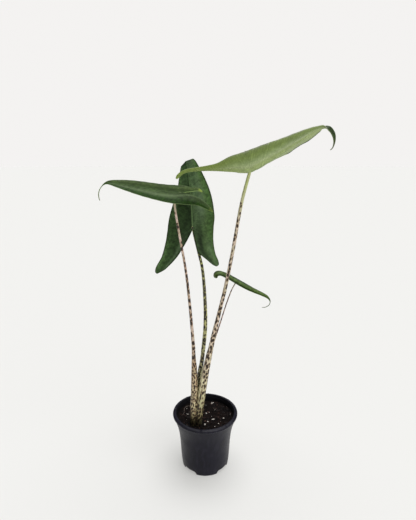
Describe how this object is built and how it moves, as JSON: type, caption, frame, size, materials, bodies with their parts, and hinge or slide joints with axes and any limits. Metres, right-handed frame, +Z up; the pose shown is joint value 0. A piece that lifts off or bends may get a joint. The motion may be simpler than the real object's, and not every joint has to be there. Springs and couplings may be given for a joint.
{
  "type": "potted plant",
  "caption": "Young alocasia zebrina with arrow-shaped drip-tipped leaves on slender mottled stalks, standing in soil in a round black nursery pot with a flared collar and lip.",
  "frame": {"origin": "centre of the pot's flat underside, where it stands", "axes": "+Z up along the plant's height, the pot's axis; the open side of the plant faces -Y and the largest leaf reaches towards +X"},
  "size_m": [0.3568, 0.1784, 0.6161],
  "materials": {
    "pot_plastic": "satin",
    "potting_soil": "matte",
    "stalk": "satin",
    "stalk_middle": "satin",
    "leaf": "satin"
  },
  "bodies": {
    "root": {"pot": "pot_plastic", "soil": "potting_soil", "petiole_left": "stalk", "petiole_middle": "stalk_middle", "petiole_right": "stalk", "petiole_small": "stalk", "blade_left": "leaf", "blade_middle": "leaf", "blade_right": "leaf", "blade_small": "leaf"}
  },
  "joints": []
}
